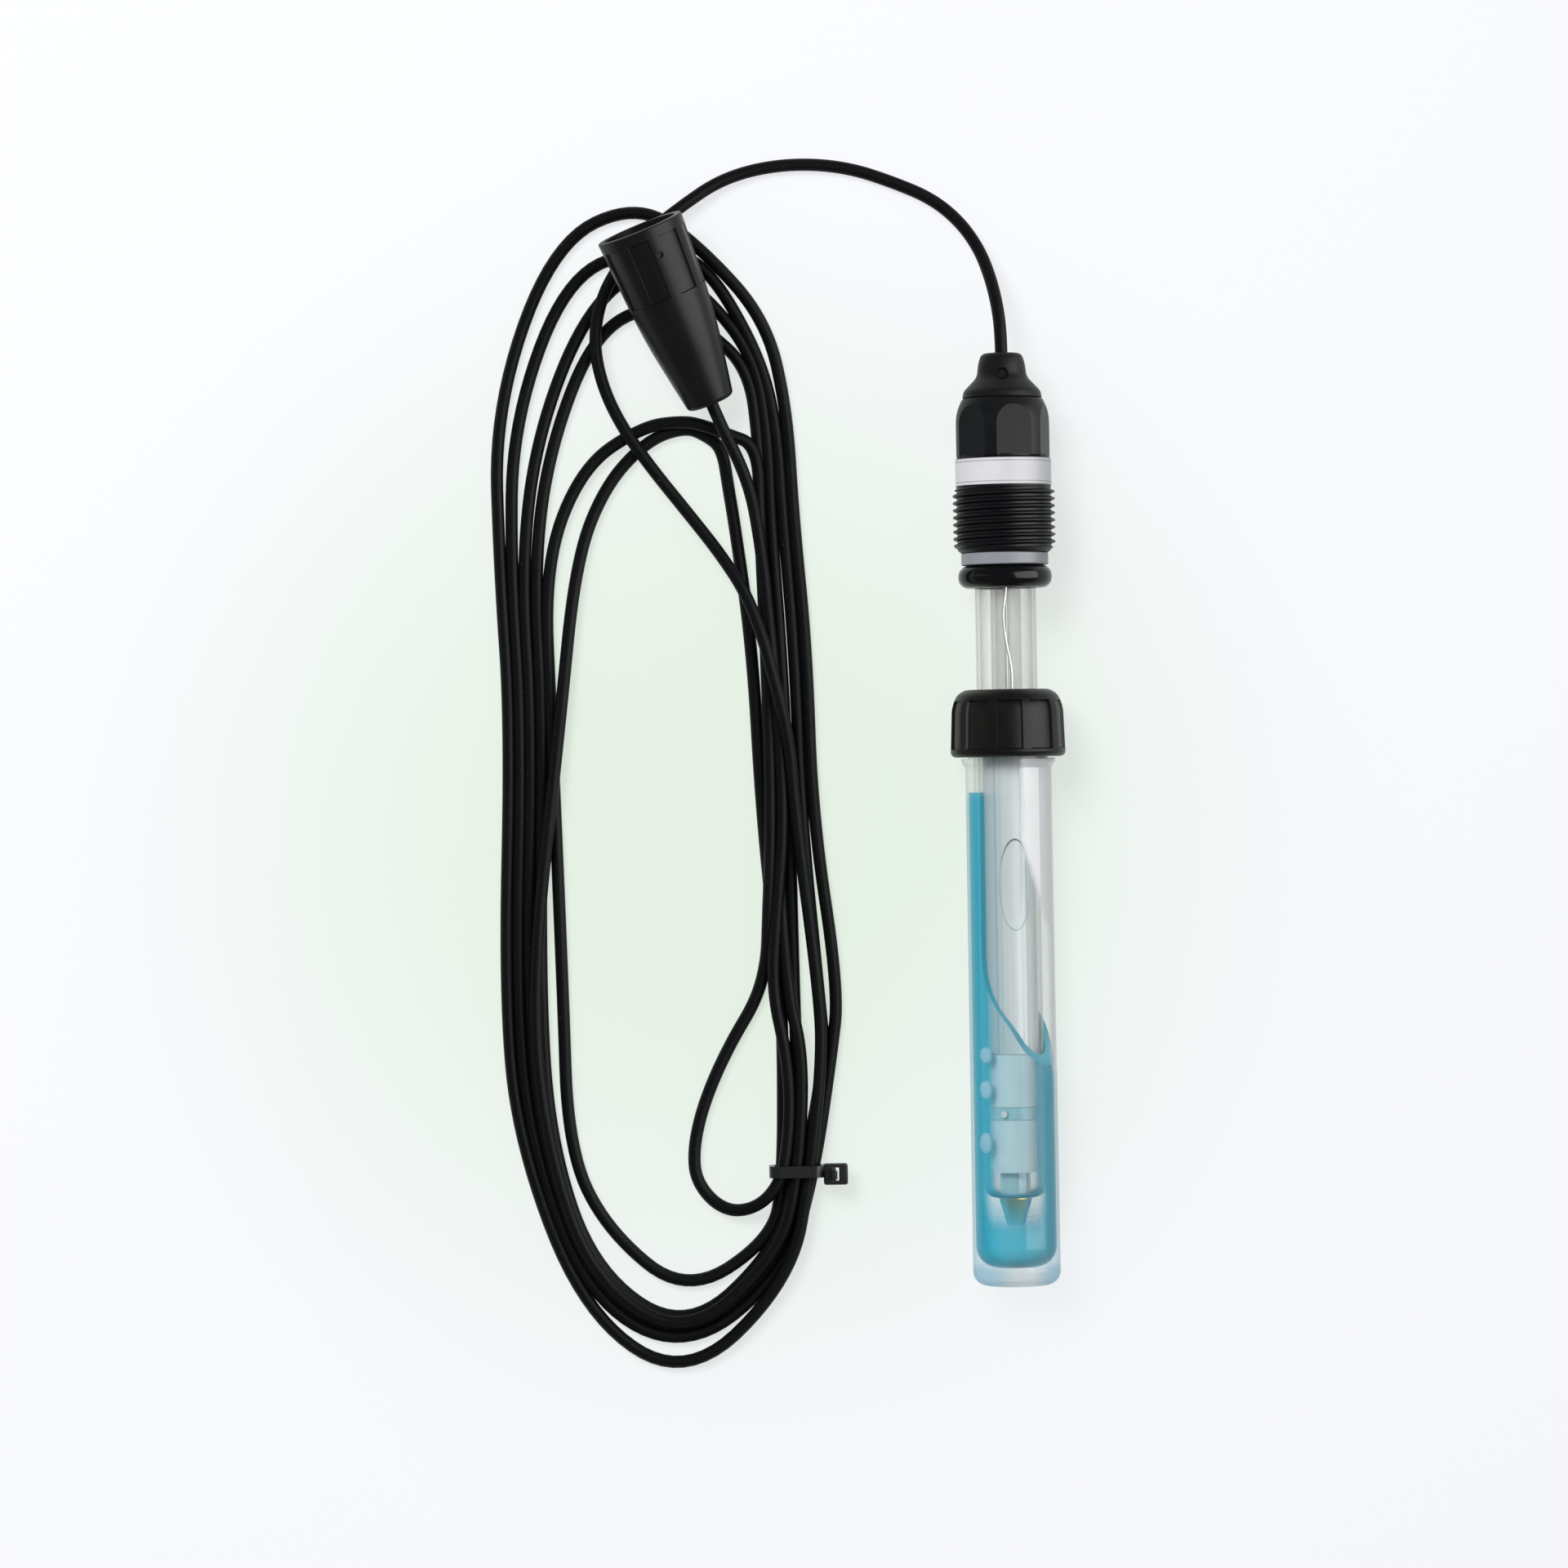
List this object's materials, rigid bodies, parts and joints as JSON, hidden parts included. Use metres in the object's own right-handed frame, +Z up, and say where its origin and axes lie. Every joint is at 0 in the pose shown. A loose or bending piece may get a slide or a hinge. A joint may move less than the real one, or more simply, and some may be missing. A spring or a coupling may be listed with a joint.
{
  "type": "redox electrode",
  "caption": "Glass-shaft redox electrode with a metal tip, screw head, wetting tube of storage liquid, and a coiled cable ending in a bayonet plug",
  "frame": {"origin": "on the surface that the electrode lies on, under the middle of the electrode's length and under its axis", "axes": "+Y along the electrode from the storage tube to the cable end of the head, +Z up from the surface, +X away from the coiled cable"},
  "size_m": [0.1135, 0.2386, 0.0232],
  "materials": {
    "head_plastic": "dark moulded plastic, faintly grained",
    "boot_rubber": "black soft moulding",
    "label_film": "white satin film",
    "ring_plastic": "grey plastic",
    "seal_rubber": "black elastomer, slightly glossy",
    "shaft_glass": "clear polished glass",
    "stem_glass": "clear polished glass",
    "gold": "polished gold",
    "silver": "drawn silver wire",
    "silver_chloride": "dull grey-brown coating",
    "stopper_rubber": "pale silicone rubber",
    "gel": "clear gel",
    "salt": "white translucent salt ring",
    "clear_spacer": "clear spacer",
    "ceramic": "porous white ceramic",
    "resin": "cast resin",
    "crimp_metal": "tinned metal",
    "core_insulation": "wire insulation",
    "cap_plastic": "black moulded plastic, ribbed",
    "wiper_rubber": "soft rubber",
    "gasket_rubber": "pale rubber",
    "tube_plastic": "clear plastic",
    "liquid": "blue storage solution",
    "plug_plastic": "dark satin plastic",
    "plug_metal": "nickel plate",
    "insulator_white": "white insulator",
    "cable_jacket": "black cable jacket",
    "tie_nylon": "black nylon"
  },
  "bodies": {
    "electrode": {"glass_shaft": "shaft_glass", "inner_stem": "stem_glass", "gold_tip": "gold", "signal_wire": "silver", "reference_wire": "silver", "chloride_coating": "silver_chloride", "annulus_stopper": "stopper_rubber", "gel_electrolyte": "gel", "salt_ring_upper": "salt", "salt_ring_lower": "salt", "junction_band": "clear_spacer", "head_seal": "seal_rubber", "head_body": "head_plastic", "label_band": "label_film", "head_potting": "resin", "signal_ferrule": "crimp_metal", "reference_ferrule": "crimp_metal", "signal_conductor": "core_insulation", "reference_conductor": "core_insulation", "cable_boot": "boot_rubber", "contact_body": "plug_metal", "contact_seal": "wiper_rubber", "contact_insulator": "insulator_white", "centre_pin": "gold", "crimp_sleeve": "crimp_metal", "cable_lead": "cable_jacket", "cable_coil": "cable_jacket", "cable_loop": "cable_jacket", "cable_tail": "cable_jacket", "cable_tie": "tie_nylon", "ceramic_junction_1": "ceramic", "ceramic_junction_2": "ceramic", "ceramic_junction_3": "ceramic"},
    "thrust_ring": {"thrust_ring": "ring_plastic"},
    "wetting_cap": {"storage_cap": "cap_plastic", "cap_wiper": "wiper_rubber"},
    "mouth_seal": {"mouth_gasket": "gasket_rubber"},
    "wetting_tube": {"storage_tube": "tube_plastic", "storage_liquid": "liquid"},
    "plug_sleeve": {"plug_shroud": "plug_plastic", "bayonet_ring": "plug_metal"}
  },
  "joints": [
    {"name": "cap_slide", "type": "slide", "parent": "electrode", "child": "wetting_cap", "axis": [0, -1, 0], "range_m": [0, 0.12]},
    {"name": "seal_draw", "type": "slide", "parent": "wetting_cap", "child": "mouth_seal", "axis": [0, -1, 0], "range_m": [0, 0.0076]},
    {"name": "tube_unscrew", "type": "hinge", "parent": "mouth_seal", "child": "wetting_tube", "pos_m": [0, 0.021, 0.01135], "axis": [0, -1, 0], "range_deg": [0, 1080]},
    {"name": "ring_turn", "type": "hinge", "parent": "electrode", "child": "thrust_ring", "pos_m": [0, 0.0501, 0.01135], "axis": [0, 1, 0], "continuous": true},
    {"name": "bayonet_turn", "type": "hinge", "parent": "electrode", "child": "plug_sleeve", "pos_m": [-0.0575, 0.0834, 0.0079], "axis": [-0.3591, 0.9164, 0.1769], "continuous": true}
  ],
  "couplings": [
    {"joint": "seal_draw", "follows": "tube_unscrew", "m_per_rad": 0.00039789}
  ]
}
